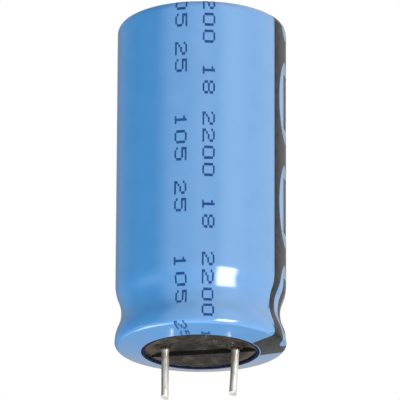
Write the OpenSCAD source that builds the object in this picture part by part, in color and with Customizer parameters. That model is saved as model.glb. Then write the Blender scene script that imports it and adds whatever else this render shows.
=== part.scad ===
// Radial aluminium electrolytic capacitor: sleeved can, rubber seal, two wires and the wound element.
// The seating plane is z = 0, the can stands up along +Z and the wires point down.

/* [Can and sleeve] */
// Diameter over the sleeve along the straight wall
sleeved_d = 18.3; // [17:0.1:20]
// Height from the seating plane to the top of the sleeve
total_h = 36.9; // [30:0.1:42]
// Wall of the aluminium can
can_wall = 0.35; // [0.25:0.05:0.45]
// Thickness of the shrunk sleeve
sleeve_wall = 0.15; // [0.1:0.01:0.2]
// Outside radius of the shoulder at the top
shoulder_r = 0.91; // [0.8:0.01:1.6]
// Width of the sleeve's fold over the top face
top_fold_w = 2.5; // [1.5:0.1:4]
// Length of each arm of the scored vent cross
vent_len = 5.2; // [3:0.1:5.8]
// Width of a scored vent line
vent_w = 0.5; // [0.3:0.05:0.8]
// Depth of a scored vent line
vent_depth = 0.15; // [0.05:0.01:0.2]

/* [Groove and rim] */
// Height of the narrowest place of the rolled groove
groove_z = 4.16; // [4:0.01:4.6]
// Depth of the rolled groove
groove_depth = 0.645; // [0.4:0.005:0.8]
// Height over which the wall comes back out above the groove
upper_flare_h = 3.22; // [2.8:0.01:3.6]
// Height over which the wall comes back out below the groove
lower_flare_h = 3.16; // [2.9:0.01:3.2]
// How far the rim stands out past the straight wall
rim_swell = 0.04; // [0:0.01:0.15]
// Outside radius of the rolled corner of the rim
rim_corner_r = 0.56; // [0.52:0.01:0.7]
// Radius at which the curled edge of the can ends
curl_r = 6.35; // [6.1:0.05:6.6]
// Width of the sleeve's free edge inside the curl
sleeve_edge_w = 0.4; // [0.2:0.05:0.6]

/* [Rubber seal] */
// Height of the seal's inner face above the seating plane
seal_top_z = 6.2; // [5.6:0.1:6.6]
// Depth of the seal's floor above the seating plane
seal_floor_z = 0.78; // [0.65:0.01:0.9]
// How far the two pads stand down from the floor
pad_drop = 0.53; // [0.3:0.01:0.55]
// Distance of the rear pad's edge from the centre
rear_pad_y = 1.75; // [1.5:0.05:2.4]
// Distance of the front pad's edge from the centre
front_pad_y = 2.9; // [2.4:0.05:3.4]
// Turn of the pads against the row of wires
pad_turn = -12; // [-20:1:20]
// Small bevel on the edges of the pads
pad_bevel = 0.12; // [0.05:0.01:0.2]

/* [Wires] */
// Distance between the two wires
wire_pitch = 7.5; // [7:0.1:8]
// Diameter of a tinned wire
wire_d = 0.8; // [0.6:0.05:0.9]
// Length of the positive wire below the seating plane
positive_len = 5.2; // [3:0.1:20]
// Length of the negative wire below the seating plane
negative_len = 4.75; // [3:0.05:20]
// Lean of the negative wire towards the positive one
negative_lean = 3.5; // [0:0.5:6]
// Slant of the cut ends
cut_angle = 20; // [0:1:35]
// Side on which a cut end stays longest, in degrees from +X towards the back
cut_turn = 60; // [0:5:90]

/* [Aluminium tabs] */
// Diameter of the round stub in the seal
stub_d = 2; // [1.6:0.1:2.2]
// Thickness of the flattened blade in the winding
blade_t = 0.25; // [0.15:0.01:0.3]
// Distance from the top of a blade to the top of the paper
blade_top_gap = 6; // [3:0.5:12]

/* [Wound element] */
// Thickness of the etched anode foil
anode_t = 0.1; // [0.08:0.01:0.12]
// Thickness of the cathode foil
cathode_t = 0.05; // [0.04:0.01:0.08]
// Thickness of one paper separator
paper_t = 0.06; // [0.05:0.01:0.08]
// Radius of the hole left by the winding mandrel
core_r = 1.6; // [1.4:0.05:1.8]
// How far the paper stands past the foils at each end
paper_margin = 1; // [0.5:0.1:1.5]
// Space between the seal and the paper
element_rise = 0.8; // [0.7:0.05:0.95]
// Space between the paper and the inside of the can's top
element_headroom = 0.5; // [0.3:0.05:0.9]
// Width of the tape that closes the roll
tape_w = 14; // [8:0.5:20]
// Thickness of the closing tape
tape_t = 0.05; // [0.03:0.01:0.08]

/* [Polarity stripe] */
// Left edge of the stripe, in degrees round from the front
stripe_start = 60.7; // [50:0.1:70]
// Width of the stripe in degrees
stripe_span = 38.5; // [32:0.5:45]
// Middle line of the windows, in degrees from the stripe's left edge
window_turn = 20.3; // [16:0.1:22]
// Thickness of the printed ink
ink_t = 0.02; // [0.01:0.005:0.04]
// Length of an oval window in the stripe
oval_len = 9.4; // [7:0.1:10]
// Width of an oval window
oval_w = 4.7; // [3.6:0.1:5]
// Distance from one oval to the next
oval_pitch = 11.6; // [10.6:0.05:14]
// Height of the middle of the highest whole oval
oval_top_z = 27.7; // [24:0.1:30]
// Length of the minus bar in an oval
bar_len = 6.1; // [4:0.1:7]
// Width of the minus bar
bar_w = 1.5; // [1:0.1:2]

/* [Hidden] */
$fn = 96;

// Clearances between pieces that touch on the real part
skin_gap = 0.01;
stub_gap = 0.01;
edge_gap = 0.02;
ink_gap = 0.005;
turn_gap = 0.01;
over = 1;

// Depths below the sleeve's outer skin
can_in = sleeve_wall + skin_gap;
bore_in = can_in + can_wall;
seal_in = bore_in + skin_gap;

// Driving radii of the outer skin
wall_r = sleeved_d / 2;
neck_r = wall_r - groove_depth;
rim_r = wall_r + rim_swell;
rim_z = groove_z - lower_flare_h;
opening_r = curl_r - sleeve_edge_w;
can_bore_r = wall_r - bore_in;

// The seal's floor starts lower at the lip, where the curl presses on the rubber
floor_edge_z = 0.55 * seal_floor_z;
floor_edge_w = 2 * sleeve_edge_w;

// The wire is welded to the stub inside the seal, and a blob of the weld shows at the boss
weld_h = 0.3;
weld_r = 0.6 * wire_d;
stub_z0 = seal_floor_z + 0.6;
wire_z0 = -0.1;

// Two equal tangent arcs carry the wall across a step of depth d over a height h
function flare_turn(d, h) = 2 * atan(d / h);
function flare_r(d, h) = h / (2 * sin(flare_turn(d, h)));
upper_turn = flare_turn(groove_depth, upper_flare_h);
upper_r = flare_r(groove_depth, upper_flare_h);
lower_turn = flare_turn(rim_r - neck_r, lower_flare_h);
lower_r = flare_r(rim_r - neck_r, lower_flare_h);

// Slope of the rim's underside: the cone from the lip that touches the corner arc
lip_dx = rim_r - rim_corner_r - curl_r;
rim_slope = atan(rim_z / lip_dx) - asin(rim_corner_r / norm([lip_dx, rim_z]));

// A point of the cone at radius r, moved inwards by s
function on_cone(s, r) = [r, (r - curl_r) * tan(rim_slope) + s / cos(rim_slope)];

// Points of an arc about c from angle a0 to a1 in n chords; more() leaves out the first point
function on_arc(c, r, a) = c + r * [cos(a), sin(a)];
function arc(c, r, a0, a1, n) = [for (i = [0 : n]) on_arc(c, r, a0 + (a1 - a0) * i / n)];
function more(c, r, a0, a1, n) = [for (i = [1 : n]) on_arc(c, r, a0 + (a1 - a0) * i / n)];

// The outer skin of the part moved inwards by s, from the shoulder down to the lip of the rim
function skin(s) = concat(
    arc([wall_r - shoulder_r, total_h - shoulder_r], shoulder_r - s, 90, 0, 6),
    arc([wall_r - upper_r, groove_z + upper_flare_h], upper_r - s, 0, -upper_turn, 4),
    more([neck_r + upper_r, groove_z], upper_r + s, 180 - upper_turn, 180, 4),
    more([neck_r + lower_r, groove_z], lower_r + s, 180, 180 + lower_turn, 4),
    more([rim_r - lower_r, rim_z], lower_r - s, lower_turn, 0, 4),
    more([rim_r - rim_corner_r, rim_z], rim_corner_r - s, 0, rim_slope - 90, 5),
    [on_cone(s, curl_r)]);
function reversed(p) = [for (i = [len(p) - 1 : -1 : 0]) p[i]];

// The same with the fold over the top and the free edge inside the curl
function film_face(s) = concat([[wall_r - top_fold_w, total_h - s]], skin(s), [[opening_r, s]]);

// The ink ends a little before the lip, so that only the film bears on the board
ink_end_r = curl_r + 1.5 * (ink_gap + ink_t) / sin(rim_slope);
function ink_face(s) = concat([[wall_r - top_fold_w, total_h - s]],
    [for (p = skin(s)) if (p[0] > ink_end_r) p], [on_cone(s, ink_end_r)]);

// Radius at a height z of the skin moved inwards by s
function skin_r_at(s, z) =
    let (p = skin(s), k = max([for (i = [0 : len(p) - 2]) if (p[i][1] >= z && p[i + 1][1] < z) i]))
    p[k][0] + (p[k + 1][0] - p[k][0]) * (z - p[k][1]) / (p[k + 1][1] - p[k][1]);

// One turn of the roll holds two papers and two foils
layer_t = [paper_t, cathode_t, paper_t, anode_t];
function layer_off(k) = k == 0 ? 0 : layer_off(k - 1) + layer_t[k - 1] + turn_gap;
turn_pitch = layer_off(3) + layer_t[3] + turn_gap;
CATHODE = 1;
ANODE = 3;

// The roll is drawn in steps of a fraction of a turn
steps = 20;
step = 360 / steps;
blade_steps = 1;
ramp_steps = 2;
blade_lift = blade_t + turn_gap;

// Turn of the roll at which a blade lies on its foil, counted in steps
function blade_step(k, half) =
    let (foil_r = wire_pitch / 2 - blade_t / 2 - layer_off(k) - layer_t[k])
    steps * (half + round((foil_r - core_r) / turn_pitch - half));
cathode_step = blade_step(CATHODE, 0);
anode_step = blade_step(ANODE, 0.5);

// Share of the full bulge at i steps, for a blade at step b: full over the blade, then ramping away
bulge_steps = blade_steps + ramp_steps;
function away(i, b) = let (m = ((i - b) % steps + steps) % steps) min(m, steps - m);
function bulge(i, b) = max(0, min(1, (bulge_steps - away(i, b)) / ramp_steps));
function lifted(i, k, b, kb) = i < b - bulge_steps + (k > kb ? 0 : steps) ? 0 : blade_lift * bulge(i, b);
function roll_r(i, k) = core_r + turn_pitch * i / steps
    + lifted(i, k, cathode_step, CATHODE) + lifted(i, k, anode_step, ANODE);
function layer_r(i, k) = roll_r(i, k) + layer_off(k);
function face_r(i, k) = layer_r(i, k) + layer_t[k] + turn_gap;

// Space for the roll inside the can, and the whole turns that fit
roll_space = 0.2;
turns = floor((can_bore_r - roll_space - 2 * tape_t - blade_lift - core_r) / turn_pitch) - 1;
roll_end = turns * steps;
tape_lap_steps = 2;
paper_z0 = seal_top_z + element_rise;
paper_z1 = total_h - bore_in - element_headroom;

// Places of the windows: degrees round from the front, heights, and how deep a flat cutter reaches
stripe_mid = stripe_start + window_turn;
oval_places = [for (i = [-1 : 3])
    if (oval_top_z - i * oval_pitch < total_h + oval_len) oval_top_z - i * oval_pitch];
window_in = sqrt(pow(neck_r, 2) - pow(oval_w / 2, 2));

module ring_body(points, start, span) {
    rotate([0, 0, start]) rotate_extrude(angle = span) polygon(points);
}

// A wrap of the roll from step i0 to step i1, with its inner radius at each step
module wrap(i0, i1, inner_r, thick, z0, z1) {
    translate([0, 0, z0]) linear_extrude(z1 - z0) polygon(concat(
        [for (i = [i0 : i1]) (inner_r[i - i0] + thick) * [cos(i * step), sin(i * step)]],
        [for (i = [i1 : -1 : i0]) inner_r[i - i0] * [cos(i * step), sin(i * step)]]));
}

// Layer k of the roll
module layer(k, i0, i1, z0, z1) wrap(i0, i1, [for (i = [i0 : i1]) layer_r(i, k)], layer_t[k], z0, z1);

module sleeve() {
    color("cornflowerblue")
        ring_body(concat(film_face(0), reversed(film_face(sleeve_wall))), 0, 360);
}

// A flat window shape pushed through the ink at the middle of the stripe; one that
// starts above the top also crosses the fold
module on_stripe(z) {
    from_r = z > total_h ? 0 : window_in;
    rotate([0, 0, stripe_mid - 90]) translate([from_r, 0, z]) rotate([90, 0, 90])
        linear_extrude(wall_r + over - from_r) children();
}

module oval_shape() {
    square([oval_w, oval_len - oval_w], center = true);
    for (s = [-1, 1]) translate([0, s * (oval_len - oval_w) / 2]) circle(d = oval_w);
}

module ink_field() {
    ring_body(concat(ink_face(-ink_gap - ink_t), reversed(ink_face(-ink_gap))),
        stripe_start - 90, stripe_span);
}

module polarity_stripe() {
    color("dimgray") {
        difference() {
            ink_field();
            for (z = oval_places) on_stripe(z) oval_shape();
        }
        intersection() {
            ink_field();
            for (z = oval_places) on_stripe(z) square([bar_w, bar_len], center = true);
        }
    }
}

module can() {
    color("silver") difference() {
        ring_body(concat([[0, total_h - can_in]], skin(can_in), reversed(skin(bore_in)),
            [[0, total_h - bore_in]]), 0, 360);
        for (a = [0, 90]) rotate([0, 0, a]) translate([0, 0, total_h - can_in])
            cube([2 * vent_len, vent_w, 2 * vent_depth], center = true);
    }
}

module pad(edge_y) {
    pad_r = opening_r - edge_gap;
    intersection() {
        translate([0, 0, seal_floor_z - pad_drop]) union() {
            cylinder(r1 = pad_r - pad_bevel, r2 = pad_r, h = pad_bevel);
            translate([0, 0, pad_bevel]) cylinder(r = pad_r, h = pad_drop);
        }
        rotate([90, 0, 90]) linear_extrude(4 * wall_r, center = true) polygon([
            [edge_y + pad_bevel, seal_floor_z - pad_drop], [edge_y, seal_floor_z - pad_drop + pad_bevel],
            [edge_y, seal_floor_z + over],
            [wall_r, seal_floor_z + over], [wall_r, seal_floor_z - pad_drop]]);
    }
}

module rubber_seal() {
    side = [for (p = skin(seal_in)) if (p[1] < seal_top_z) p];
    boss_r = stub_d / 2;
    color([0.24, 0.22, 0.21]) difference() {
        union() {
            ring_body(concat(
                [[0, seal_top_z], [skin_r_at(seal_in, seal_top_z), seal_top_z]], side,
                [[curl_r - edge_gap, seal_in], [curl_r - edge_gap, floor_edge_z],
                 [opening_r - floor_edge_w, seal_floor_z], [0, seal_floor_z]]), 0, 360);
            rotate([0, 0, pad_turn]) {
                pad(rear_pad_y);
                rotate([0, 0, 180]) pad(front_pad_y);
            }
            for (s = [-1, 1]) translate([s * wire_pitch / 2, 0, seal_floor_z - weld_h])
                cylinder(r1 = boss_r * 0.75, r2 = boss_r, h = weld_h + edge_gap);
        }
        for (s = [-1, 1]) translate([s * wire_pitch / 2, 0, 0]) {
            cylinder(r = weld_r + stub_gap, h = seal_top_z);
            translate([0, 0, stub_z0 - stub_gap]) cylinder(r = stub_d / 2 + stub_gap, h = seal_top_z);
        }
    }
}

// A wire of a given length below z = 0, leaning towards -X, with a slanted cut that shows from the front
module wire(length, lean) {
    weld_z0 = seal_floor_z - weld_h / 2;
    translate([0, 0, weld_z0]) cylinder(r = weld_r, h = stub_z0 - stub_gap - weld_z0);
    translate([0, 0, wire_z0]) cylinder(r1 = wire_d / 2, r2 = weld_r, h = weld_z0 - wire_z0);
    translate([0, 0, wire_z0]) rotate([0, lean, 0]) {
        sphere(d = wire_d);
        difference() {
            translate([0, 0, -length - wire_z0]) cylinder(d = wire_d, h = length + wire_z0);
            rotate([0, 0, cut_turn]) translate([wire_d / 2, 0, -length - wire_z0])
                rotate([0, -cut_angle, 0]) translate([0, 0, -2 * wire_d])
                    cube([8, 4, 4] * wire_d, center = true);
        }
    }
}

module positive_lead() {
    color("gainsboro") translate([-wire_pitch / 2, 0, 0]) wire(positive_len, 0);
}

module negative_lead() {
    color("gainsboro") translate([wire_pitch / 2, 0, 0]) wire(negative_len, negative_lean);
}

// A round stub in the seal that is flattened to a blade lying on foil layer k at step b
module tab(b, k) {
    side = cos(b * step) > 0 ? 1 : -1;
    x = side * wire_pitch / 2;
    blade_x = side * (face_r(b, k) + blade_t / 2);
    chisel_z = seal_top_z + element_rise / 8;
    blade_z0 = chisel_z + element_rise / 2;
    color("lightgray") {
        translate([x, 0, stub_z0]) cylinder(d = stub_d, h = chisel_z - stub_z0);
        intersection() {
            translate([x, 0, chisel_z]) cylinder(d = stub_d, h = element_rise);
            rotate([90, 0, 0]) linear_extrude(2 * stub_d, center = true) polygon([
                [x - stub_d / 2, chisel_z], [x + stub_d / 2, chisel_z],
                [blade_x + blade_t / 2, paper_z0 - turn_gap],
                [blade_x - blade_t / 2, paper_z0 - turn_gap]]);
        }
        wrap(b - blade_steps, b + blade_steps,
            [for (i = [b - blade_steps : b + blade_steps]) face_r(i, k)],
            blade_t, blade_z0, paper_z1 - blade_top_gap);
    }
}

module anode_tab() tab(anode_step, ANODE);
module cathode_tab() tab(cathode_step, CATHODE);

module anode_foil() color("darkgray")
    layer(ANODE, steps, roll_end - steps, paper_z0 + paper_margin, paper_z1 - paper_margin);
module cathode_foil() color("gray")
    layer(CATHODE, steps / 2, roll_end - steps / 2, paper_z0 + paper_margin, paper_z1 - paper_margin);
module separator_inner() color("wheat") layer(0, 0, roll_end, paper_z0, paper_z1);
module separator_outer() color("wheat") layer(2, 0, roll_end, paper_z0, paper_z1);

// One turn and a lap of tape, continuing the roll outwards
module winding_tape() {
    i0 = roll_end + 1;
    i1 = roll_end + steps + tape_lap_steps;
    mid_z = (paper_z0 + paper_z1) / 2;
    color("khaki") wrap(i0, i1, [for (i = [i0 : i1]) roll_r(i, 0)],
        tape_t, mid_z - tape_w / 2, mid_z + tape_w / 2);
}

sleeve();
polarity_stripe();
can();
rubber_seal();
positive_lead();
negative_lead();
anode_tab();
cathode_tab();
anode_foil();
cathode_foil();
separator_inner();
separator_outer();
winding_tape();
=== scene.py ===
"""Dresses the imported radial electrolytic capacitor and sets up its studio.

Sizes in the classes are in millimetres, as on a drawing of the part. They become metres
when a finished mesh is handed over.
"""
import logging
import math
from dataclasses import dataclass
from enum import Enum
from functools import cached_property
from typing import Any, Iterable, Sequence

import bmesh
import bpy
from mathutils import Matrix, Vector, noise


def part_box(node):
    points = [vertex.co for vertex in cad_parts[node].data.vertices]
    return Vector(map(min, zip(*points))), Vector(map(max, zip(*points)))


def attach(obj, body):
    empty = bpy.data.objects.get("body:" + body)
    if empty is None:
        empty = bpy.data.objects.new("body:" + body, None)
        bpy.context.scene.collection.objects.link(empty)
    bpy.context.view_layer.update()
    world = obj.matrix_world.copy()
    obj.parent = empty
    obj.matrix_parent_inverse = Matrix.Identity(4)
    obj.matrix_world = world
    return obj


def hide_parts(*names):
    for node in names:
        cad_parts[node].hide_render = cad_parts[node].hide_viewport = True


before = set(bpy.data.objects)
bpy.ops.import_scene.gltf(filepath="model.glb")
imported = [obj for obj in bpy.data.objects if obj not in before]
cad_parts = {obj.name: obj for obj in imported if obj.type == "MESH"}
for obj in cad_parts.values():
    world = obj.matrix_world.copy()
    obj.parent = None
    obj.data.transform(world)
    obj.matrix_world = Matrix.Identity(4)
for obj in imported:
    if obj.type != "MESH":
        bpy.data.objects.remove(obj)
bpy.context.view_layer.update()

LOG = logging.getLogger("capacitor")
BODY = "root"
MM = 0.001
# Steps of a full turn round the can's axis.
SPIN_STEPS = 256
# How near two points become one, and how near a point counts as on a cutting plane.
WELD_DIST = 1e-4
CUT_DIST = 1e-5
# Distance between the two wires.
WIRE_PITCH = 7.5
# Seed of the vector noise, which would otherwise come from the clock.
NOISE_SEED = 18

Point = tuple[float, float]
Triple = tuple[float, float, float]
Colour = Triple
BMesh = bmesh.types.BMesh
BMVert = bmesh.types.BMVert
BMEdge = bmesh.types.BMEdge
EVEN: Triple = (1.0, 1.0, 1.0)


def arc(centre: Point, radius: float, start: float, end: float, steps: int) -> list[Point]:
    """Samples a circular arc.

    Args:
        centre: Centre of the arc.
        radius: Radius of the arc.
        start: Angle of the first point in degrees.
        end: Angle of the last point in degrees.
        steps: Number of chords.

    Returns:
        The points from start to end, both included.
    """
    angles = [math.radians(angle) for angle in span(start, end, steps)]
    return [(centre[0] + radius * math.cos(a), centre[1] + radius * math.sin(a)) for a in angles]


def span(start: float, end: float, steps: int) -> list[float]:
    """Returns steps + 1 even values from start to end."""
    return [start + (end - start) * i / steps for i in range(steps + 1)]


class Link:
    """A shader socket that can stand in an arithmetic expression."""

    def __init__(self, graph: "Graph", socket: bpy.types.NodeSocket) -> None:
        """Wraps an output socket of a graph."""
        self.graph = graph
        self.socket = socket

    def _math(self, operation: str, *values: Any) -> "Link":
        """Returns the result of one Math node."""
        return self.graph.add("ShaderNodeMath", {"operation": operation}, dict(enumerate(values)))

    def __add__(self, other: Any) -> "Link":
        """Returns self + other."""
        return self._math("ADD", self, other)

    __radd__ = __add__

    def __sub__(self, other: Any) -> "Link":
        """Returns self - other."""
        return self._math("SUBTRACT", self, other)

    def __rsub__(self, other: Any) -> "Link":
        """Returns other - self."""
        return self._math("SUBTRACT", other, self)

    def __mul__(self, other: Any) -> "Link":
        """Returns self * other."""
        return self._math("MULTIPLY", self, other)

    __rmul__ = __mul__

    def power(self, other: float) -> "Link":
        """Returns self to the power of other."""
        return self._math("POWER", self, other)

    def turn(self, other: "Link") -> "Link":
        """Returns the angle of (self, other) from the second's axis, in radians."""
        return self._math("ARCTAN2", self, other)

    def ramp(self, low: float, high: float) -> "Link":
        """Returns 0 below low, 1 above high and a smooth step between them."""
        return self.graph.add("ShaderNodeMapRange", {"interpolation_type": "SMOOTHSTEP"},
                              {"Value": self, "From Min": low, "From Max": high})

    def within(self, low: float, high: float, soft: float) -> "Link":
        """Returns 1 between low and high, falling to 0 over a soft edge on both sides."""
        return self.ramp(low - soft, low + soft) * (1 - self.ramp(high - soft, high + soft))

    def part(self, name: str) -> "Link":
        """Returns another output of the node that this link comes from."""
        return Link(self.graph, self.socket.node.outputs[name])


class Graph:
    """The node tree of one material, or of the world."""

    def __init__(self, owner: bpy.types.ID) -> None:
        """Empties the owner's node tree and takes it over.

        Args:
            owner: A material or a world.
        """
        owner.use_nodes = True
        self.tree = owner.node_tree
        self.tree.nodes.clear()

    def add(self, kind: str, settings: dict[str, Any], inputs: dict[Any, Any]) -> Link:
        """Adds one node.

        Args:
            kind: Blender's name of the node type.
            settings: Properties of the node, which are set first.
            inputs: Values or links by socket name or number.

        Returns:
            The node's first enabled output.
        """
        node = self.tree.nodes.new(kind)
        for key, value in settings.items():
            setattr(node, key, value)
        for key, value in inputs.items():
            socket = node.inputs[key] if isinstance(key, int) else self._input(node, key)
            if isinstance(value, Link):
                self.tree.links.new(value.socket, socket)
            elif socket.type == "RGBA":
                socket.default_value = (*value, 1.0)
            else:
                socket.default_value = value
        outputs = [s for s in node.outputs if s.enabled]
        return Link(self, outputs[0] if outputs else None)

    @staticmethod
    def _input(node: bpy.types.Node, name: str) -> bpy.types.NodeSocket:
        """Returns the enabled input of a node with that name."""
        return next(s for s in node.inputs if s.name == name and s.enabled)

    def place(self, stretch: Triple = EVEN) -> Link:
        """Returns Object coordinates in millimetres, times a factor for each axis."""
        coords = self.add("ShaderNodeTexCoord", {}, {}).part("Object")
        return self.add("ShaderNodeMapping", {}, {"Vector": coords, "Scale": [s / MM for s in stretch]})

    def axes(self, vector: Link) -> list[Link]:
        """Returns the three components of a vector."""
        split = self.add("ShaderNodeSeparateXYZ", {}, {"Vector": vector})
        return [split.part(name) for name in "XYZ"]

    def radius(self) -> Link:
        """Returns the distance from the can's axis in millimetres."""
        level = self.place((1.0, 1.0, 0.0))
        return self.add("ShaderNodeVectorMath", {"operation": "LENGTH"}, {0: level}).part("Value")

    def noise(self, size: float, detail: float, stretch: Triple) -> Link:
        """Returns noise of about 0 to 1 with blots of that size in millimetres."""
        inputs = {"Vector": self.place(stretch), "Scale": 1 / size, "Detail": detail}
        return self.add("ShaderNodeTexNoise", {}, inputs)

    def mix(self, factor: Any, low: Any, high: Any) -> Link:
        """Returns a colour between low and high."""
        return self.add("ShaderNodeMix", {"data_type": "RGBA"}, {"Factor": factor, "A": low, "B": high})

    def bump(self, height: Link, depth: float) -> Link:
        """Returns a normal raised by height times a depth in millimetres."""
        inputs = {"Height": height, "Distance": depth * MM, "Strength": 1.0}
        return self.add("ShaderNodeBump", {}, inputs)

    def surface(self, **inputs: Any) -> None:
        """Ends a material in one Principled shader.

        Args:
            **inputs: Values or links by socket name, with _ for a space.
        """
        named = {key.replace("_", " "): value for key, value in inputs.items()}
        shader = self.add("ShaderNodeBsdfPrincipled", {}, named)
        self.add("ShaderNodeOutputMaterial", {}, {"Surface": shader})


@dataclass(frozen=True)
class Pattern:
    """Cloudy noise with blots of one size, drawn out along an axis where its stretch is small."""

    size: float
    detail: float = 2.0
    stretch: Triple = EVEN
    contrast: Point | None = None

    def draw(self, graph: Graph) -> Link:
        """Adds the pattern to a material.

        Args:
            graph: The material's nodes.

        Returns:
            The noise, or with a contrast the mask that rises from 0 to 1 between its two levels.
        """
        cloud = graph.noise(self.size, self.detail, self.stretch)
        return cloud.ramp(*self.contrast) if self.contrast else cloud


@dataclass(frozen=True)
class Specks:
    """Small grains or pits, one in a cell at most, that lie scattered in patches."""

    size: float
    share: float = 0.22
    patch_cells: float = 4.0
    patch_contrast: Point = (0.58, 0.68)

    def draw(self, graph: Graph) -> Link:
        """Adds the specks to a material.

        Args:
            graph: The material's nodes.

        Returns:
            A mask that is 1 on a speck.
        """
        inputs = {"Vector": graph.place(), "Scale": 1 / self.size, "Randomness": 1.0}
        cells = graph.add("ShaderNodeTexVoronoi", {"feature": "F1"}, inputs)
        near = 1 - cells.part("Distance").ramp(0.5 * self.share, self.share)
        patches = Pattern(self.patch_cells * self.size, contrast=self.patch_contrast)
        return near * patches.draw(graph)


# Slow waviness of the shrunk film, which the ink on it shares, and its depth.
FILM_WAVE = Pattern(5.0, 1.0, (1.0, 1.0, 0.45))
FILM_DEPTH = 0.02


@dataclass(frozen=True)
class Finish:
    """A surface finish of the part. Each kind of finish paints its own nodes."""

    name: str

    def paint(self, graph: Graph) -> None:
        """Adds the finish's nodes to an empty material."""
        raise NotImplementedError

    def material(self) -> bpy.types.Material:
        """Makes the finish's material, or finds it when it is made already.

        Returns:
            The material.
        """
        label = f"{self.name}_finish"
        found = bpy.data.materials.get(label)
        if found is None:
            found = bpy.data.materials.new(label)
            self.paint(Graph(found))
        return found


@dataclass(frozen=True)
class SleeveFilm(Finish):
    """Glossy shrunk film over the bright can."""

    blue: Colour = (0.054, 0.266, 0.61)
    pale: Colour = (0.062, 0.278, 0.63)
    mottle: Pattern = Pattern(2.6, 3.0, contrast=(0.3, 0.7))
    peel: Pattern = Pattern(0.5)
    scuff: Pattern = Pattern(1.1, 4.0, (1.0, 1.0, 0.2), (0.58, 0.8))
    roughness: float = 0.16
    index: float = 1.5
    coat_roughness: float = 0.03
    coat_index: float = 2.1

    def paint(self, graph: Graph) -> None:
        """Mottles the blue a little and adds a slow waviness.

        Args:
            graph: The nodes of an empty material.
        """
        colour = graph.mix(self.mottle.draw(graph), self.blue, self.pale)
        wave = FILM_WAVE.draw(graph) + 0.12 * self.peel.draw(graph)
        roughness = self.roughness + 0.05 * self.scuff.draw(graph)
        graph.surface(Base_Color=colour, Roughness=roughness, IOR=self.index,
                      Normal=graph.bump(wave, FILM_DEPTH), Coat_Weight=1.0,
                      Coat_Roughness=self.coat_roughness, Coat_IOR=self.coat_index)


@dataclass(frozen=True)
class Ink(Finish):
    """Printed ink on the film, or its free edge, whose dark navy is partly painted shade."""

    dark: Colour = (0.027, 0.028, 0.031)
    light: Colour = (0.042, 0.043, 0.047)
    cover: Pattern = Pattern(0.7, 4.0, contrast=(0.35, 0.7))
    grain: Pattern = Pattern(0.12, 3.0)
    roughness: float = 0.2
    gloss: float = 0.15

    def paint(self, graph: Graph) -> None:
        """Lets the ink's coverage and gloss vary a little.

        Args:
            graph: The nodes of an empty material.
        """
        colour = graph.mix(self.cover.draw(graph), self.dark, self.light)
        grain = self.grain.draw(graph)
        graph.surface(Base_Color=colour, Roughness=self.roughness + 0.08 * grain,
                      Specular_IOR_Level=self.gloss,
                      Normal=graph.bump(FILM_WAVE.draw(graph) + 0.02 * grain, FILM_DEPTH))


@dataclass(frozen=True)
class MouldedRubber(Finish):
    """Matte dark rubber with a dusty bloom and a few pale grains, painted highlights towards the rim
    and on the pads' lower edges, and painted shade on its steep walls.

    A pair of numbers holds the two levels between which a mask rises from 0 to 1.
    """

    dark: Colour = (0.017, 0.0142, 0.0125)
    # Pale tone of the dusty bloom and of the painted highlights at the rim and the pads' edges.
    bloom_and_highlight: Colour = (0.165, 0.139, 0.109)
    # Near-black painted shade on the steep walls, such as the slot's wall in front of the rear pad.
    wall_shade: Colour = (0.003, 0.003, 0.003)
    dust: Colour = (0.42, 0.40, 0.36)
    blots: Pattern = Pattern(1.1, 6.0, contrast=(0.4, 0.75))
    streaks: Pattern = Pattern(0.45, 5.0, (0.5, 1.0, 1.0), (0.5, 0.75))
    grain: Pattern = Pattern(0.13, 4.0)
    grains: Specks = Specks(0.34)
    level_share: Point = (0.1, 0.35)
    # Heights of the pads' lower edges, which get a painted highlight.
    pad_highlight_z: Point = (0.27, 0.35)
    pad_highlight_soft: float = 0.02
    # Radii over which the painted rim highlight rises, and squared x at which it grows strongest at the
    # sides.
    rim_r: Point = (4.5, 5.95)
    highlight_sides_x_squared: Point = (6.0, 25.0)
    roughness: float = 0.62
    gloss: float = 0.25
    depth: float = 0.04

    def paint(self, graph: Graph) -> None:
        """Lays bloom in blots, paints highlights towards the rim and on the pads' edges, paints shade
        on the steep walls, and strews grains.

        Args:
            graph: The nodes of an empty material.
        """
        # Steep walls are found from the normal and painted dark as shade.
        tilt = graph.axes(graph.add("ShaderNodeTexCoord", {}, {}).part("Normal"))[2]
        steep = 1 - (tilt * tilt).ramp(*self.level_share)
        across, _, height = graph.axes(graph.place())
        # Painted highlight along the pads' lower edges, off the steep walls.
        edge = height.within(*self.pad_highlight_z, self.pad_highlight_soft) * (1 - steep)
        side = (across * across).ramp(*self.highlight_sides_x_squared)
        # Painted highlight towards the rim, strongest at the left and right sides.
        rim = graph.radius().ramp(*self.rim_r) * (0.2 + 0.8 * side)
        blots, streaks = self.blots.draw(graph), self.streaks.draw(graph)
        grain, grains = self.grain.draw(graph), self.grains.draw(graph)
        # The pale mix: real bloom in blots and streaks, plus the painted highlights towards the rim and
        # on the pads' edges.
        pale = (0.35 * blots + 0.3 * streaks + 0.62 * rim + 0.6 * edge) * (0.3 + 0.9 * grain)
        # Steep walls turn to the painted shade.
        base = graph.mix(steep * 0.85, graph.mix(pale, self.dark, self.bloom_and_highlight), self.wall_shade)
        relief = grain + 0.8 * blots + 0.5 * streaks + 0.5 * grains
        graph.surface(Base_Color=graph.mix(grains, base, self.dust), Specular_IOR_Level=self.gloss,
                      Roughness=self.roughness + 0.2 * grain, Normal=graph.bump(relief, self.depth))


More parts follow.
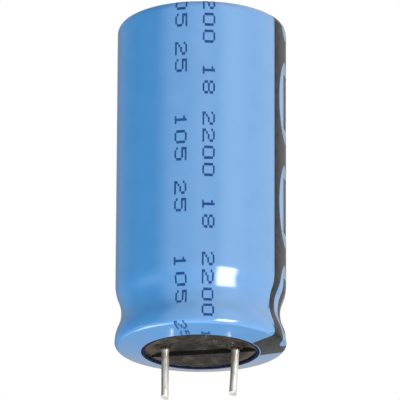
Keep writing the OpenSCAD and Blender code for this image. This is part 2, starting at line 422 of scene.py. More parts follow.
@dataclass(frozen=True)
class TinPlate(Finish):
    """Drawn tinned wire: bright, with fine lines along it and dull smears."""

    bright: Colour = (0.98, 0.96, 0.89)
    dull: Colour = (0.56, 0.52, 0.44)
    lines: Pattern = Pattern(0.09, 3.0, (1.0, 1.0, 0.06))
    smears: Pattern = Pattern(0.35, 4.0, (1.0, 1.0, 0.45), (0.46, 0.68))
    tarnish: Pattern = Pattern(0.2, 3.0)
    weld_z: Point = (-0.05, 0.35)
    roughness: float = 0.42
    depth: float = 0.012

    def paint(self, graph: Graph) -> None:
        """Draws lines along the wire and dulls it in smears and at the weld.

        Args:
            graph: The nodes of an empty material.
        """
        lines, smears = self.lines.draw(graph), self.smears.draw(graph)
        weld = graph.axes(graph.place())[2].ramp(*self.weld_z)
        stain = 0.4 * smears + 0.75 * weld * (0.45 + 0.8 * self.tarnish.draw(graph))
        graph.surface(Base_Color=graph.mix(stain, self.bright, self.dull), Metallic=1.0,
                      Roughness=self.roughness + 0.14 * smears + 0.1 * lines,
                      Normal=graph.bump(lines + 0.8 * smears, self.depth))


@dataclass(frozen=True)
class Aluminium(Finish):
    """Bare aluminium: a drawn can, a rolled tab or a foil."""

    bright: Colour = (0.80, 0.81, 0.82)
    dull: Colour = (0.62, 0.63, 0.65)
    lines: Pattern = Pattern(0.25, 4.0, (1.0, 0.05, 1.0))
    cloud: Pattern = Pattern(2.2, 3.0, contrast=(0.35, 0.7))
    pits: Specks = Specks(0.5)
    roughness: float = 0.34
    depth: float = 0.006

    def paint(self, graph: Graph) -> None:
        """Adds brushed or etched grain and a cloudy tone.

        Args:
            graph: The nodes of an empty material.
        """
        lines, cloud, pits = (pattern.draw(graph) for pattern in (self.lines, self.cloud, self.pits))
        wear = 0.5 * cloud + 0.35 * lines
        graph.surface(Base_Color=graph.mix(wear, self.bright, self.dull), Metallic=1.0,
                      Roughness=self.roughness + 0.14 * lines + 0.1 * cloud,
                      Normal=graph.bump(lines - 0.6 * pits, self.depth))


@dataclass(frozen=True)
class Tissue(Finish):
    """Soaked separator paper or clear film tape over it, with fibres and cloudy wetness."""

    wet: Colour = (0.46, 0.36, 0.22)
    dry: Colour = (0.68, 0.60, 0.44)
    fibres: Pattern = Pattern(0.3, 4.0, (1.0, 1.0, 0.15))
    cloud: Pattern = Pattern(2.8, 3.0, contrast=(0.35, 0.68))
    roughness: float = 0.45
    depth: float = 0.02

    def paint(self, graph: Graph) -> None:
        """Mixes fibres into a cloudy tan.

        Args:
            graph: The nodes of an empty material.
        """
        fibres = self.fibres.draw(graph)
        dryness = 0.6 * self.cloud.draw(graph) + 0.4 * fibres
        graph.surface(Base_Color=graph.mix(dryness, self.wet, self.dry),
                      Roughness=self.roughness + 0.2 * fibres, Normal=graph.bump(fibres, self.depth))


@dataclass(frozen=True)
class StudioPaper(Finish):
    """Plain pale paper of the floor."""

    tone: Colour = (0.86, 0.86, 0.86)
    light: Colour = (0.88, 0.88, 0.88)
    tooth: Pattern = Pattern(6.0, 3.0)
    roughness: float = 0.85
    depth: float = 0.05

    def paint(self, graph: Graph) -> None:
        """Gives the paper a faint tooth.

        Args:
            graph: The nodes of an empty material.
        """
        tooth = self.tooth.draw(graph)
        graph.surface(Base_Color=graph.mix(tooth, self.tone, self.light), Roughness=self.roughness,
                      Normal=graph.bump(tooth, self.depth))


def add_object(name: str, data: bpy.types.ID) -> bpy.types.Object:
    """Adds a new object to the scene.

    Args:
        name: Name of the object.
        data: Its mesh, lamp or camera.

    Returns:
        The object.
    """
    made = bpy.data.objects.new(name, data)
    bpy.context.scene.collection.objects.link(made)
    return made


def hand_over(bm: BMesh, name: str, finish: Finish, nodes: Sequence[str] = (),
              sharp: float = 30.0) -> None:
    """Makes a finished piece of the part, riding on its body, from a mesh in millimetres.

    Args:
        bm: The mesh, which is freed.
        name: Name of the piece.
        finish: Its surface.
        nodes: CAD nodes that the piece stands for.
        sharp: Angle in degrees above which an edge is shaded sharp.
    """
    bmesh.ops.remove_doubles(bm, verts=bm.verts, dist=WELD_DIST)
    bmesh.ops.recalc_face_normals(bm, faces=bm.faces)
    bmesh.ops.scale(bm, vec=(MM, MM, MM), verts=bm.verts)
    mesh = bpy.data.meshes.new(name)
    bm.to_mesh(mesh)
    bm.free()
    mesh.shade_smooth()
    mesh.set_sharp_from_angle(angle=math.radians(sharp))
    mesh.materials.append(finish.material())
    piece = add_object(name, mesh)
    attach(piece, BODY)
    if nodes:
        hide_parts(*nodes)
    LOG.info("%s: %d faces", name, len(mesh.polygons))


def verts_in(items: Iterable[Any]) -> list[BMVert]:
    """Returns the points among an operator's results."""
    return [item for item in items if isinstance(item, BMVert)]


def fill_inside(bm: BMesh, edges: list[BMEdge]) -> None:
    """Fills the face that closed loops of edges bound, leaving holes where loops lie inside it."""
    bmesh.ops.triangle_fill(bm, use_beauty=True, use_dissolve=False, edges=edges)


def cut_plane(bm: BMesh, place: Sequence[float], across: Sequence[float], **clear: bool) -> None:
    """Cuts a whole mesh at a plane, and drops its side if clear_outer or clear_inner asks so."""
    bmesh.ops.bisect_plane(bm, geom=[*bm.verts, *bm.edges, *bm.faces], dist=CUT_DIST,
                           plane_co=place, plane_no=across, **clear)


def add_rectangle(bm: BMesh, centre: Point, size: Point) -> list[BMVert]:
    """Adds a flat rectangle and returns its corners."""
    place = Matrix.Translation((*centre, 0.0)) @ Matrix.Diagonal((*size, 1.0, 1.0))
    return bmesh.ops.create_grid(bm, x_segments=1, y_segments=1, size=0.5, matrix=place)["verts"]


def spin_section(bm: BMesh, section: Sequence[Point], closed: bool) -> None:
    """Turns a section of (radius, height) points round the can's axis.

    Args:
        bm: Mesh that takes the faces.
        section: Points in order.
        closed: Whether the last point joins the first.
    """
    verts = [bm.verts.new((r, 0.0, z)) for r, z in section]
    pairs = list(zip(verts, verts[1:])) + ([(verts[-1], verts[0])] if closed else [])
    edges = [bm.edges.new(pair) for pair in pairs]
    bmesh.ops.spin(bm, geom=verts + edges, cent=(0, 0, 0), axis=(0, 0, 1), dvec=(0, 0, 0),
                   angle=2 * math.pi, steps=SPIN_STEPS, use_merge=True, use_duplicate=False)


def circle_edges(bm: BMesh, place: Point, x: float = 0.0, segments: int = SPIN_STEPS) -> list[BMEdge]:
    """Adds an open level circle.

    Args:
        bm: Mesh that takes the circle.
        place: Its radius and height.
        x: Where its middle stands on the x axis.
        segments: Number of edges.

    Returns:
        Its edges.
    """
    radius, height = place
    made = bmesh.ops.create_circle(bm, cap_ends=False, radius=radius, segments=segments,
                                   matrix=Matrix.Translation((x, 0.0, height)))
    return list(dict.fromkeys(edge for vert in made["verts"] for edge in vert.link_edges))


def grow_tube(bm: BMesh, edges: list[BMEdge], section: Sequence[Point], x: float = 0.0) -> list[BMEdge]:
    """Extends a level circle along a section of (radius, height) points.

    Args:
        bm: Mesh that holds the circle.
        edges: Edges of the circle.
        section: Radius and height of the circle, and then of each next one.
        x: Where the circle's middle stands on the x axis.

    Returns:
        The edges of the last circle.
    """
    for (radius, height), (next_radius, next_height) in zip(section, section[1:]):
        made = bmesh.ops.extrude_edge_only(bm, edges=edges)["geom"]
        verts = verts_in(made)
        edges = [item for item in made if isinstance(item, BMEdge)]
        ratio = next_radius / radius
        bmesh.ops.scale(bm, vec=(ratio, ratio, 1.0), verts=verts,
                        space=Matrix.Translation((-x, 0.0, 0.0)))
        bmesh.ops.translate(bm, vec=(0.0, 0.0, next_height - height), verts=verts)
    return edges


@dataclass(frozen=True)
class Skin:
    """Outer face of the film as a curve in (radius, height) that climbs from its free edge.

    A flat shape is laid on it in film places (u, h): u millimetres round the wall from the
    front towards +X, and h millimetres along the curve.
    """

    height: float
    rim_r: float
    wall_r: float = 9.15
    shoulder_r: float = 0.91
    neck_r: float = 8.505
    neck_z: float = 4.16
    upper_h: float = 3.22
    lower_h: float = 3.16
    corner_r: float = 0.56
    curl_r: float = 6.35
    opening_r: float = 5.95
    fold_r: float = 6.65
    under_steps: int = 5
    corner_steps: int = 14
    flare_steps: int = 10
    wall_steps: int = 18
    shoulder_steps: int = 12
    fold_steps: int = 4

    def _flare(self, outer_r: float, rise: float) -> tuple[float, float]:
        """Returns the turn in degrees and the radius of two equal arcs from the neck outwards."""
        turn = 2 * math.degrees(math.atan((outer_r - self.neck_r) / rise))
        return turn, rise / (2 * math.sin(math.radians(turn)))

    @property
    def _under_run(self) -> float:
        """Radius from the lip to the middle of the rim's corner."""
        return self.rim_r - self.corner_r - self.curl_r

    @property
    def _under_slope(self) -> float:
        """Angle in radians at which the underside rises from the lip to the rim's corner."""
        run, rise = self._under_run, self.neck_z - self.lower_h
        return math.atan2(rise, run) - math.asin(self.corner_r / math.hypot(run, rise))

    @cached_property
    def points(self) -> list[Point]:
        """The curve's points, from the free edge up to the edge of the top fold."""
        low_turn, low_r = self._flare(self.rim_r, self.lower_h)
        up_turn, up_r = self._flare(self.wall_r, self.upper_h)
        rim_z, wall_z = self.neck_z - self.lower_h, self.neck_z + self.upper_h
        shoulder = (self.wall_r - self.shoulder_r, self.height - self.shoulder_r)
        run, slope, parts = self._under_run, self._under_slope, self.under_steps
        curve = [(self.opening_r, 0.0), (self.curl_r, 0.0)]
        curve += [(self.curl_r + k * run / parts, k * math.tan(slope) * run / parts)
                  for k in range(1, parts)]
        curve += arc((self.rim_r - self.corner_r, rim_z), self.corner_r,
                     math.degrees(slope) - 90, 0, self.corner_steps)
        for centre, radius, start, end in (
                ((self.rim_r - low_r, rim_z), low_r, 0, low_turn),
                ((self.neck_r + low_r, self.neck_z), low_r, 180 + low_turn, 180),
                ((self.neck_r + up_r, self.neck_z), up_r, 180, 180 - up_turn),
                ((self.wall_r - up_r, wall_z), up_r, -up_turn, 0)):
            curve += arc(centre, radius, start, end, self.flare_steps)[1:]
        curve += [(self.wall_r, z) for z in span(wall_z, shoulder[1], self.wall_steps)[1:]]
        curve += arc(shoulder, self.shoulder_r, 0, 90, self.shoulder_steps)[1:]
        curve += [(r, self.height) for r in span(shoulder[0], self.fold_r, self.fold_steps)[1:]]
        return curve

    @cached_property
    def marks(self) -> list[float]:
        """Length along the curve up to each of its points."""
        lengths = [0.0]
        for a, b in zip(self.points, self.points[1:]):
            lengths.append(lengths[-1] + math.dist(a, b))
        return lengths

    def normal(self, index: int) -> Point:
        """Works out the outward direction at a point of the curve.

        Args:
            index: Number of the point.

        Returns:
            The direction, of length 1.
        """
        a = self.points[max(index - 1, 0)]
        b = self.points[min(index + 1, len(self.points) - 1)]
        length = math.dist(a, b)
        return ((b[1] - a[1]) / length, (a[0] - b[0]) / length)

    def offset(self, out: float) -> list[Point]:
        """Returns the curve moved outwards by a distance."""
        normals = [self.normal(i) for i in range(len(self.points))]
        return [(r + out * n[0], z + out * n[1]) for (r, z), n in zip(self.points, normals)]

    def mark_at(self, z: float) -> float:
        """Finds where the side of the film reaches a height.

        Args:
            z: The height.

        Returns:
            The length along the curve up to there, or the whole length if that is never.
        """
        for a, b, start, end in zip(self.points, self.points[1:], self.marks, self.marks[1:]):
            if a[1] <= z <= b[1] and a[1] < b[1] and b[0] > self.neck_r - WELD_DIST:
                return start + (end - start) * (z - a[1]) / (b[1] - a[1])
        return self.marks[-1]

    def u_at(self, azimuth: float) -> float:
        """Returns the distance round the wall of an azimuth in degrees."""
        return math.radians(azimuth) * self.wall_r

    def lay(self, u: float, h: float, out: float) -> Vector:
        """Works out the point of space over a film place.

        Args:
            u: Distance round the wall from the front.
            h: Distance along the curve.
            out: Distance out of the film.

        Returns:
            The point, in millimetres.
        """
        last = len(self.marks) - 2
        i = max((k for k in range(last + 1) if self.marks[k] <= h), default=0)
        t = (h - self.marks[i]) / (self.marks[i + 1] - self.marks[i])
        r, z = (a + (b - a) * t for a, b in zip(self.points[i], self.points[i + 1]))
        nr, nz = (a + (b - a) * t for a, b in zip(self.normal(i), self.normal(i + 1)))
        angle = u / self.wall_r
        r += out * nr
        return Vector((r * math.sin(angle), -r * math.cos(angle), z + out * nz))

    def wrap(self, bm: BMesh, gap: float, thick: float) -> None:
        """Makes a flat mesh of film places into a thin body that lies on the film.

        Args:
            bm: Flat mesh with u as x and h as y.
            gap: Distance of the body from the film.
            thick: Thickness of the body.
        """
        raised = bmesh.ops.extrude_face_region(bm, geom=list(bm.faces), use_keep_orig=True)["geom"]
        top = set(verts_in(raised))
        for vert in bm.verts:
            vert.co = self.lay(vert.co.x, vert.co.y, gap + (thick if vert in top else 0.0))

    def cut_along(self, bm: BMesh) -> None:
        """Cuts a flat mesh at the curve's points and at the steps of a spin.

        Args:
            bm: Flat mesh of film places.
        """
        step = 2 * math.pi * self.wall_r / SPIN_STEPS
        xs = [v.co.x for v in bm.verts]
        columns = range(math.ceil(min(xs) / step), math.floor(max(xs) / step) + 1)
        for mark in self.marks:
            cut_plane(bm, (0, mark, 0), (0, 1, 0))
        for column in columns:
            cut_plane(bm, (column * step, 0, 0), (1, 0, 0))


@dataclass
class Sleeve:
    """The shrunk film from its fold over the top to its free edge inside the curl."""

    skin: Skin
    thick: float = 0.15
    ripple_rate: float = 2.6
    fold_ripple: float = 0.11
    fold_reach: float = 1.2
    edge_ripple: float = 0.035
    edge_reach: float = 0.35
    edge_grow: float = 0.07
    edge_shift: Triple = (0.03, -0.13, 0.0)
    finish: Finish = SleeveFilm("sleeve_film")
    # The free edge is dark navy: the film's own colour where no can backs it, and painted shade of the
    # gap at the lip.
    edge_shade_finish: Finish = Ink("sleeve_edge", (0.002, 0.007, 0.034), (0.005, 0.014, 0.055),
                              roughness=0.5, gloss=0.06)

    def build(self) -> None:
        """Spins the film from the fold to the lip, and its free edge as a piece of its own, dark navy
        partly as painted shade.
        """
        outer, inner = self.skin.points, self.skin.offset(-self.thick)
        self._ring("sleeve_film", outer[1:] + inner[:0:-1], self.finish, ["sleeve"])
        self._ring("sleeve_edge", outer[:2] + inner[1::-1], self.edge_shade_finish, [])

    def _ring(self, name: str, section: Sequence[Point], finish: Finish, nodes: Sequence[str]) -> None:
        """Spins one closed section of the film and ripples its free edge.

        Args:
            name: Name of the piece.
            section: Its outline in (radius, height).
            finish: Its surface.
            nodes: CAD nodes that it stands for.
        """
        bm = bmesh.new()
        spin_section(bm, section, closed=True)
        for vert in bm.verts:
            self._ripple(vert)
        hand_over(bm, name, finish, nodes)

    def _ripple(self, vert: BMVert) -> None:
        """Moves a point near a free edge in or out by a smooth noise round the can.

        Args:
            vert: A point of the film.
        """
        radius = math.hypot(vert.co.x, vert.co.y)
        around = Vector((vert.co.x, vert.co.y, 0.0)) / radius
        wave = noise.noise(around * self.ripple_rate)
        if vert.co.z > 0.5 * self.skin.height:
            share = max(0.0, 1 - (radius - self.skin.fold_r) / self.fold_reach)
            vert.co += around * share * self.fold_ripple * wave
        elif radius < self.skin.curl_r:
            share = max(0.0, 1 - (radius - self.skin.opening_r) / self.edge_reach)
            shift = Vector(self.edge_shift) + around * (self.edge_grow + self.edge_ripple * wave)
            vert.co += share * shift


@dataclass
class PolarityStripe:
    """The dark stripe with its row of windows and minus bars, printed on the film."""

    skin: Skin
    start: float = 59.4
    width: float = 39.8
    middle: float = 81.0
    window_w: float = 4.7
    window_l: float = 9.4
    window_z: tuple[float, ...] = (27.7, 15.9, 4.65)
    window_steps: int = 56
    bar_w: float = 1.5
    bar_l: float = 6.1
    pitch: float = 11.8
    lip_gap: float = 0.1
    gap: float = 0.005
    thick: float = 0.018
    finish: Finish = Ink("stripe_ink")

    @cached_property
    def places(self) -> list[Point]:
        """Film places of the window middles, with one more past the top fold."""
        marks = [self.skin.mark_at(z) for z in self.window_z]
        return [(self.skin.u_at(self.middle), mark) for mark in [marks[0] + self.pitch] + marks]

    @staticmethod
    def _loop(bm: BMesh, points: Sequence[Point]) -> list[BMEdge]:
        """Adds a closed loop of edges through flat points."""
        verts = [bm.verts.new((x, y, 0.0)) for x, y in points]
        return [bm.edges.new(pair) for pair in zip(verts, verts[1:] + verts[:1])]

    def _window(self, u: float, h: float) -> list[Point]:
        """Returns the outline of an oval window about a film place."""
        circle = arc((0.0, 0.0), 0.5, 0, 360, self.window_steps)[:-1]
        return [(u + self.window_w * x, h + self.window_l * y) for x, y in circle]

    def build(self) -> None:
        """Fills the stripe round its windows, adds the bars, trims both and wraps them."""
        bm = bmesh.new()
        left, right = self.skin.u_at(self.start), self.skin.u_at(self.start + self.width)
        low, top = self.skin.marks[1] + self.lip_gap, self.skin.marks[-1]
        over = top + self.window_l
        edges = self._loop(bm, [(left, low), (right, low), (right, over), (left, over)])
        for place in self.places:
            edges += self._loop(bm, self._window(*place))
        fill_inside(bm, edges)
        for place in self.places:
            add_rectangle(bm, place, (self.bar_w, self.bar_l))
        cut_plane(bm, (0, top, 0), (0, 1, 0), clear_outer=True)
        self.skin.cut_along(bm)
        self.skin.wrap(bm, self.gap, self.thick)
        hand_over(bm, "polarity_stripe_ink", self.finish, ["polarity_stripe"])


class Digit(Enum):
    """Dot patterns of the plain numerals, five dots wide and seven high."""

    ZERO = (" ### ", "#   #", "#   #", "#   #", "#   #", "#   #", " ### ")
    ONE = ("  #  ", " ##  ", "  #  ", "  #  ", "  #  ", "  #  ", " ### ")
    TWO = (" ### ", "#   #", "    #", "  ## ", " #   ", "#    ", "#####")
    FIVE = ("#####", "#    ", "#### ", "    #", "    #", "#   #", " ### ")
    EIGHT = (" ### ", "#   #", "#   #", " ### ", "#   #", "#   #", " ### ")
    SPACE = ("     ",) * 7


@dataclass(frozen=True)
class PrintLine:
    """One line of plain numerals that is read down the can, and the heights where it starts."""

    azimuth: float
    starts_z: tuple[float, ...]
    digits: tuple[Digit, ...]


@dataclass
class FrontPrint:
    """Plain numerals printed in dots on the front of the film."""

    skin: Skin
    column: float = 0.3
    row: float = 0.19
    corner: float = 0.035
    advance: float = 1.93
    stray: float = 0.01
    stray_rate: float = 3.1
    top_gap: float = 0.3
    gap: float = 0.005
    thick: float = 0.012
    lines: tuple[PrintLine, ...] = (
        PrintLine(4.9, (37.75, 23.9, 8.15),
                  (Digit.TWO, Digit.TWO, Digit.ZERO, Digit.ZERO, Digit.SPACE, Digit.ONE, Digit.EIGHT)),
        PrintLine(-14.0, (39.6, 23.8, 7.95), (Digit.ONE, Digit.ZERO, Digit.FIVE)),
        PrintLine(-14.0, (31.9, 16.15, 0.62), (Digit.TWO, Digit.FIVE)),
    )
    finish: Finish = Ink("print_ink", (0.01, 0.055, 0.2), (0.02, 0.08, 0.26), roughness=0.3, gloss=0.1)

    def build(self) -> None:
        """Lays the dots of every line and wraps them on the film."""
        bm = bmesh.new()
        for line in self.lines:
            for start in line.starts_z:
                self._print(bm, line, self.skin.mark_at(start))
        self.skin.wrap(bm, self.gap, self.thick)
        hand_over(bm, "front_numerals", self.finish)

    def _print(self, bm: BMesh, line: PrintLine, start: float) -> None:
        """Adds the dots of one line that starts at a film height.

        Args:
            bm: Flat mesh of film places.
            line: The numerals and their azimuth.
            start: Film height of the first column of dots.
        """
        low, high = self.skin.marks[1], self.skin.marks[-1] - self.top_gap
        for index, digit in enumerate(line.digits):
            middle_row = len(digit.value) // 2
            for row, pattern in enumerate(digit.value):
                u = self.skin.u_at(line.azimuth) + (middle_row - row) * self.row
                for column, mark in enumerate(pattern):
                    h = start - index * self.advance - column * self.column
                    if mark == "#" and low < h < high:
                        self._dot(bm, u, h)

    def _dot(self, bm: BMesh, u: float, h: float) -> None:
        """Adds one flat dot with cut corners, a little off its place as a printer leaves it.

        Args:
            bm: Flat mesh of film places.
            u: Place round the wall.
            h: Place along the film.
        """
        stray = noise.noise_vector(Vector((u * self.stray_rate, h * self.stray_rate, 0.0))) * self.stray
        corners = add_rectangle(bm, (u + stray.x, h + stray.y), (self.row, self.column))
        bmesh.ops.bevel(bm, geom=corners, offset=self.corner, affect="VERTICES", segments=2,
                        profile=0.5, material=-1)


@dataclass
class RubberSeal:
    """The moulded bung: a floor between two pads, and a boss round each wire.

    The boss is an outline of radii and heights over the floor. The crest and the toe are the
    first and the last step of the slope from the floor's edge down to the lip.
    """

    skin: Skin
    side_in: float = 0.52
    top_z: float = 6.2
    floor_z: float = 0.78
    floor_in: float = 0.8
    crest: Point = (0.25, -0.03)
    toe: Point = (0.35, -0.07)
    floor_edge_z: float = 0.43
    edge_gap: float = 0.02
    pad_drop: float = 0.53
    pad_root: float = 0.04
    pad_gap: float = 0.06
    pad_bevel: float = 0.13
    pad_steps: int = 160
    rear_y: float = 1.75
    front_y: float = 2.9
    turn: float = -12.0
    boss: tuple[Point, ...] = ((1.16, 0.0), (1.06, -0.05), (0.98, -0.14), (0.90, -0.24), (0.80, -0.30),
                               (0.66, -0.32), (0.54, -0.28), (0.47, -0.20), (0.47, -0.02), (0.5, 0.1))
    boss_steps: int = 48
    bore_r: float = 0.5
    stub_r: float = 1.01
    stub_z: float = 1.37
    finish: Finish = MouldedRubber("seal_rubber")

    def build(self) -> None:
        """Makes the bung with its two bores, then sets the pads on its floor."""
        bm = bmesh.new()
        floor_r = self.skin.opening_r - self.floor_in
        bore = [(r, self.floor_z + z) for r, z in self.boss]
        bore += [(self.bore_r, self.stub_z), (self.stub_r, self.stub_z), (self.stub_r, self.top_z)]
        rim = circle_edges(bm, (floor_r, self.floor_z))
        holes = [(x, circle_edges(bm, bore[0], x, self.boss_steps))
                 for x in (-WIRE_PITCH / 2, WIRE_PITCH / 2)]
        fill_inside(bm, rim + [edge for _, hole in holes for edge in hole])
        tops = [edge for x, hole in holes for edge in grow_tube(bm, hole, bore, x)]
        wall = self._wall(floor_r)
        spin_section(bm, wall, closed=False)
        fill_inside(bm, tops + circle_edges(bm, wall[-1]))
        self._pad(bm, self.rear_y, self.turn)
        self._pad(bm, self.front_y, self.turn + 180)
        hand_over(bm, "rubber_bung", self.finish, ["rubber_seal"])

    def _wall(self, floor_r: float) -> list[Point]:
        """Works out the outer section of the bung, which follows the inside of the can.

        Args:
            floor_r: Radius of the floor's edge.

        Returns:
            Radii and heights, from the floor's edge to the edge of the top.
        """
        lip_r = self.skin.curl_r - self.edge_gap
        side = [p for p in self.skin.offset(-self.side_in)[1:] if p[1] < self.top_z and p[0] > lip_r]
        return [(floor_r, self.floor_z), (floor_r + self.crest[0], self.floor_z + self.crest[1]),
                (lip_r - self.toe[0], self.floor_edge_z - self.toe[1]), (lip_r, self.floor_edge_z),
                (lip_r, self.side_in), *side, (side[-1][0], self.top_z)]

    def _pad(self, bm: BMesh, edge_y: float, turn: float) -> None:
        """Adds a pad: the part of a disc past a straight edge, with rounded lower edges.

        Args:
            bm: The bung's mesh.
            edge_y: Distance of the straight edge from the centre.
            turn: Direction of the pad in degrees.
        """
        pad = bmesh.new()
        face_z = self.floor_z - self.pad_drop
        bmesh.ops.create_circle(pad, cap_ends=True, segments=self.pad_steps,
                                radius=self.skin.opening_r - self.pad_gap,
                                matrix=Matrix.Translation((0, 0, face_z)))
        cut_plane(pad, (0, edge_y, 0), (0, 1, 0), clear_inner=True)
        raised = bmesh.ops.extrude_face_region(pad, geom=list(pad.faces), use_keep_orig=True)["geom"]
        bmesh.ops.translate(pad, vec=(0, 0, self.pad_drop + self.pad_root), verts=verts_in(raised))
        low = [e for e in pad.edges if all(v.co.z < face_z + WELD_DIST for v in e.verts)]
        bmesh.ops.bevel(pad, geom=low, offset=self.pad_bevel, affect="EDGES", segments=4, profile=0.5,
                        material=-1, clamp_overlap=True)
        bmesh.ops.rotate(pad, cent=(0, 0, 0), verts=pad.verts,
                         matrix=Matrix.Rotation(math.radians(turn), 3, "Z"))
        bmesh.ops.recalc_face_normals(pad, faces=pad.faces)
        shape = bpy.data.meshes.new("pad_shape")
        pad.to_mesh(shape)
        pad.free()
        bm.from_mesh(shape)
        bpy.data.meshes.remove(shape)


@dataclass
class Wire:
    """A tinned wire with its weld at the top and a slanted, burred cut at the bottom.

    The weld is an outline of radii and heights from the stub down to the plain shaft.
    """

    name: str
    node: str
    x: float
    length: float
    seed: float
    lean: float = 0.0
    radius: float = 0.4
    bend_z: float = -0.1
    weld: tuple[Point, ...] = ((0.455, 1.35), (0.455, 0.9), (0.40, 0.72), (0.33, 0.60), (0.35, 0.50),
                               (0.43, 0.36), (0.455, 0.22), (0.435, 0.08))
    sides: int = 40
    shaft_steps: int = 26
    spare: float = 0.5
    cut: float = 20.0
    cut_turn: float = 60.0
    burr: float = 0.035
    burr_in: float = 0.07
    burr_bevel: float = 0.025
    shaft_dent: float = 0.012
    weld_dent: float = 0.03
    dents_across: float = 2.4
    dents_along: float = 1.9
    finish: Finish = TinPlate("tin_plate")

    def build(self) -> None:
        """Grows the wire down from the stub, shears it and roughens it."""
        bm = bmesh.new()
        heights = span(self.bend_z, -self.length - self.spare, self.shaft_steps)
        edges = circle_edges(bm, self.weld[0], segments=self.sides)
        fill_inside(bm, edges)
        grow_tube(bm, edges, [*self.weld, *((self.radius, z) for z in heights)])
        self._shear(bm)
        for vert in bm.verts:
            self._shape(vert)
        hand_over(bm, self.name, self.finish, [self.node], sharp=40.0)

    def _shear(self, bm: BMesh) -> None:
        """Cuts the end on a slant, closes it and leaves a small step where it tore.

        Args:
            bm: The wire's mesh, open at its end.
        """
        turn = Matrix.Rotation(math.radians(self.cut_turn), 3, "Z")
        across = turn @ Matrix.Rotation(math.radians(self.cut), 3, "Y") @ Vector((0.0, 0.0, -1.0))
        cut_plane(bm, turn @ Vector((self.radius, 0.0, -self.length)), across, clear_outer=True)
        rim = [e for e in bm.edges if e.is_boundary]
        face = bmesh.ops.contextual_create(bm, geom=rim)["faces"]
        bmesh.ops.inset_region(bm, faces=face, thickness=self.burr_in, depth=self.burr,
                               use_even_offset=True)
        bmesh.ops.bevel(bm, geom=list(face[0].edges), offset=self.burr_bevel, affect="EDGES",
                        segments=2, profile=0.5, material=-1)

    def _shape(self, vert: BMVert) -> None:
        """Puts small dents in a point and moves it to the wire's line.

        Args:
            vert: A point of the straight wire on the can's axis.
        """
        x, y, z = vert.co
        if z < self.weld[0][1] - WELD_DIST:
            across, along = self.dents_across, self.dents_along
            depth = self.shaft_dent if z < self.bend_z else self.weld_dent
            place = Vector((x * across, y * across, z * along + self.seed))
            vert.co += noise.noise_vector(place) * depth
        below = max(0.0, self.bend_z - z)
        vert.co.x += self.x - math.tan(math.radians(self.lean)) * below


@dataclass
class Winding:
    """The can and the wound element, which keep their CAD shapes and get their metals and papers."""

    finishes: tuple[tuple[Finish, tuple[str, ...]], ...] = (
        (Aluminium("can_aluminium"), ("can",)),
        (Aluminium("tab_aluminium", lines=Pattern(0.15, 4.0, (1.0, 1.0, 0.06)), roughness=0.4),
         ("anode_tab", "cathode_tab")),
        (Aluminium("etched_foil", (0.40, 0.41, 0.42), (0.27, 0.28, 0.29), Pattern(0.08, 4.0),
                   roughness=0.62, depth=0.01), ("anode_foil",)),
        (Aluminium("plain_foil", (0.62, 0.63, 0.64), (0.48, 0.49, 0.5),
                   Pattern(0.12, 4.0, (1.0, 1.0, 0.2)), roughness=0.42), ("cathode_foil",)),
        (Tissue("separator_paper"), ("separator_inner", "separator_outer")),
        (Tissue("closing_tape", (0.5, 0.42, 0.16), (0.66, 0.58, 0.3), roughness=0.18),
         ("winding_tape",)),
    )

    def build(self) -> None:
        """Dresses each CAD node in its finish."""
        for finish, nodes in self.finishes:
            for node in nodes:
                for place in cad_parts[node].material_slots:
                    place.material = finish.material()
                LOG.info("%s: CAD shape in %s", node, finish.name)


@dataclass(frozen=True)
class Glow:
    """A soft-edged field of light in the studio's surroundings.

    Azimuth counts from the camera's side towards +X and elevation up from level, in degrees.
    """

    azimuth: Point
    elevation: Point
    level: float
    soft: float


@dataclass(frozen=True)
class Panel:
    """A large soft lamp behind diffusing cloth, which lights the part and isn't mirrored in it."""

    azimuth: float
    elevation: float
    watts: float
    distance: float = 700.0
    size: float = 500.0

    @property
    def aim(self) -> Vector:
        """Direction of the panel, seen from the part."""
        a, e = math.radians(self.azimuth), math.radians(self.elevation)
        return Vector((math.sin(a) * math.cos(e), -math.cos(a) * math.cos(e), math.sin(e)))


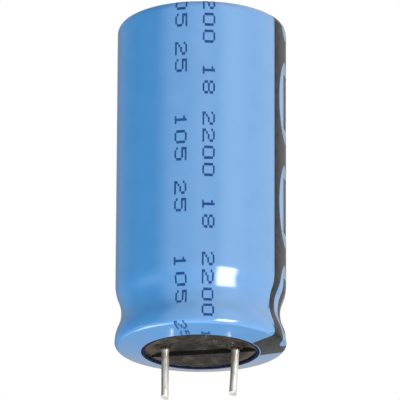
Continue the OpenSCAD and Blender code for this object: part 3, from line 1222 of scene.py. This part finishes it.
@dataclass
class Studio:
    """A pale studio: surroundings with a window, soft lamps, a floor below the part and the camera."""

    floor_z: float = -750.0
    floor_r: float = 2600.0
    camera_place: Triple = (0.0, -574.6, -177.5)
    camera_target: Triple = (-0.11, 0.0, 17.166)
    camera_roll: float = 0.263
    lens: float = 506.4
    sensor: float = 36.0
    near: float = 20.0
    far: float = 20000.0
    backdrop: Colour = (1.0, 1.0, 1.0)
    base: float = 0.45
    glows: tuple[Glow, ...] = (
        Glow((-181, 181), (-91, -60), 1.0, 6.0),
        Glow((-150, 150), (-91, -28), 1.0, 5.0),
        Glow((-170, -110), (-24, 66), 0.21, 8.0),
        Glow((-66, -10), (-32, 66), 0.66, 12.0),
        Glow((-124, -52), (-32, 66), 0.08, 19.0),
        Glow((-104, -40), (-44, -10), 0.36, 12.0),
        Glow((-138, -96), (-40, -20), 0.32, 8.0),
        Glow((-14, 24), (-32, 70), 0.88, 14.0),
        Glow((22, 122), (-32, 75), 0.98, 12.0),
        Glow((30, 60), (-10, 45), 1.2, 12.0),
        Glow((120, 168), (-32, 75), 0.8, 3.0),
        Glow((148, 185), (-32, 75), 0.5, 7.0),
        Glow((119, 125), (9, 26), 0.1, 1.5),
        Glow((119, 150), (-34, -2), 0.2, 6.0),
        Glow((150, 190), (-64, -22), 0.34, 6.0),
        Glow((-190, -150), (-64, -22), 0.34, 6.0),
        Glow((-145, -92), (-68, -44), 2.6, 6.0),
        Glow((22.5, 49), (-46, 1), 5.8, 5.0),
    )
    panels: tuple[Panel, ...] = (
        Panel(azimuth=-78.0, elevation=-12.0, watts=3.3),
        Panel(azimuth=-132.0, elevation=8.0, watts=2.0),
        Panel(azimuth=180.0, elevation=5.0, watts=0.8),
        Panel(azimuth=-70.0, elevation=-84.0, watts=1.9),
    )
    paper: Finish = StudioPaper("studio_paper")

    def build(self) -> None:
        """Sets up the surroundings, the lamps, the floor and the camera."""
        self._surroundings()
        for index, panel in enumerate(self.panels):
            self._lamp(f"panel_{index}", panel)
        self._floor()
        self._camera()
        bpy.context.scene.view_settings.view_transform = "Standard"
        LOG.info("studio: %d glows and %d panels", len(self.glows), len(self.panels))

    def _surroundings(self) -> None:
        """Paints the world by direction, and plain white behind the part."""
        world = bpy.data.worlds.new("studio")
        bpy.context.scene.world = world
        graph = Graph(world)
        x, y, z = graph.axes(graph.add("ShaderNodeTexCoord", {}, {}).part("Generated"))
        azimuth = x.turn(-1 * y) * math.degrees(1)
        elevation = z.turn((x * x + y * y).power(0.5)) * math.degrees(1)
        level: Any = self.base
        for glow in self.glows:
            across = azimuth.within(*glow.azimuth, glow.soft)
            mask = across * elevation.within(*glow.elevation, glow.soft)
            level = level + (glow.level - level) * mask
        seen = graph.add("ShaderNodeLightPath", {}, {}).part("Is Camera Ray")
        inputs = {"Color": self.backdrop, "Strength": level + (1.0 - level) * seen}
        light = graph.add("ShaderNodeBackground", {}, inputs)
        graph.add("ShaderNodeOutputWorld", {}, {"Surface": light})

    @staticmethod
    def _looking(place: Vector, direction: Vector) -> Matrix:
        """Returns the place and turn of a lamp or camera that looks in a direction."""
        return Matrix.Translation(place) @ direction.to_track_quat("-Z", "Y").to_matrix().to_4x4()

    def _lamp(self, name: str, panel: Panel) -> None:
        """Hangs a panel so that it faces the middle of the part.

        Args:
            name: Name of the lamp.
            panel: Its place and strength.
        """
        lamp = bpy.data.lights.new(name, "AREA")
        lamp.energy = panel.watts
        lamp.size = panel.size * MM
        piece = add_object(name, lamp)
        middle = Vector((0.0, 0.0, self.camera_target[2])) * MM
        piece.matrix_world = self._looking(middle + panel.aim * panel.distance * MM, -panel.aim)
        piece.visible_glossy = False

    def _floor(self) -> None:
        """Lays a round pale floor below the part and out of its reflections."""
        bm = bmesh.new()
        bmesh.ops.create_circle(bm, cap_ends=True, radius=self.floor_r * MM, segments=96,
                                matrix=Matrix.Translation((0, 0, self.floor_z * MM)))
        mesh = bpy.data.meshes.new("floor")
        bm.to_mesh(mesh)
        bm.free()
        mesh.materials.append(self.paper.material())
        floor = add_object("floor", mesh)
        floor.visible_glossy = False
        floor.visible_diffuse = False

    def _camera(self) -> None:
        """Places the camera on the photograph's line of sight."""
        lens = bpy.data.cameras.new("camera")
        lens.lens = self.lens
        lens.sensor_width = self.sensor
        lens.clip_start = self.near * MM
        lens.clip_end = self.far * MM
        camera = add_object("camera", lens)
        place = Vector(self.camera_place) * MM
        look = Vector(self.camera_target) * MM - place
        roll = Matrix.Rotation(math.radians(self.camera_roll), 4, "Z")
        camera.matrix_world = self._looking(place, look) @ roll
        bpy.context.scene.camera = camera


def main() -> None:
    """Builds the sub-assemblies in order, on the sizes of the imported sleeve."""
    logging.basicConfig(level=logging.INFO, format="%(name)s: %(message)s")
    noise.seed_set(NOISE_SEED)
    low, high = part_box("sleeve")
    skin = Skin(height=high.z / MM, rim_r=(high.x - low.x) / 2 / MM)
    Studio().build()
    Sleeve(skin).build()
    PolarityStripe(skin).build()
    FrontPrint(skin).build()
    RubberSeal(skin).build()
    Wire("positive_wire", "positive_lead", x=-WIRE_PITCH / 2, length=5.2, seed=3.0).build()
    Wire("negative_wire", "negative_lead", x=WIRE_PITCH / 2, length=4.75, seed=11.0, lean=3.5).build()
    Winding().build()


if __name__ == "__main__":
    main()
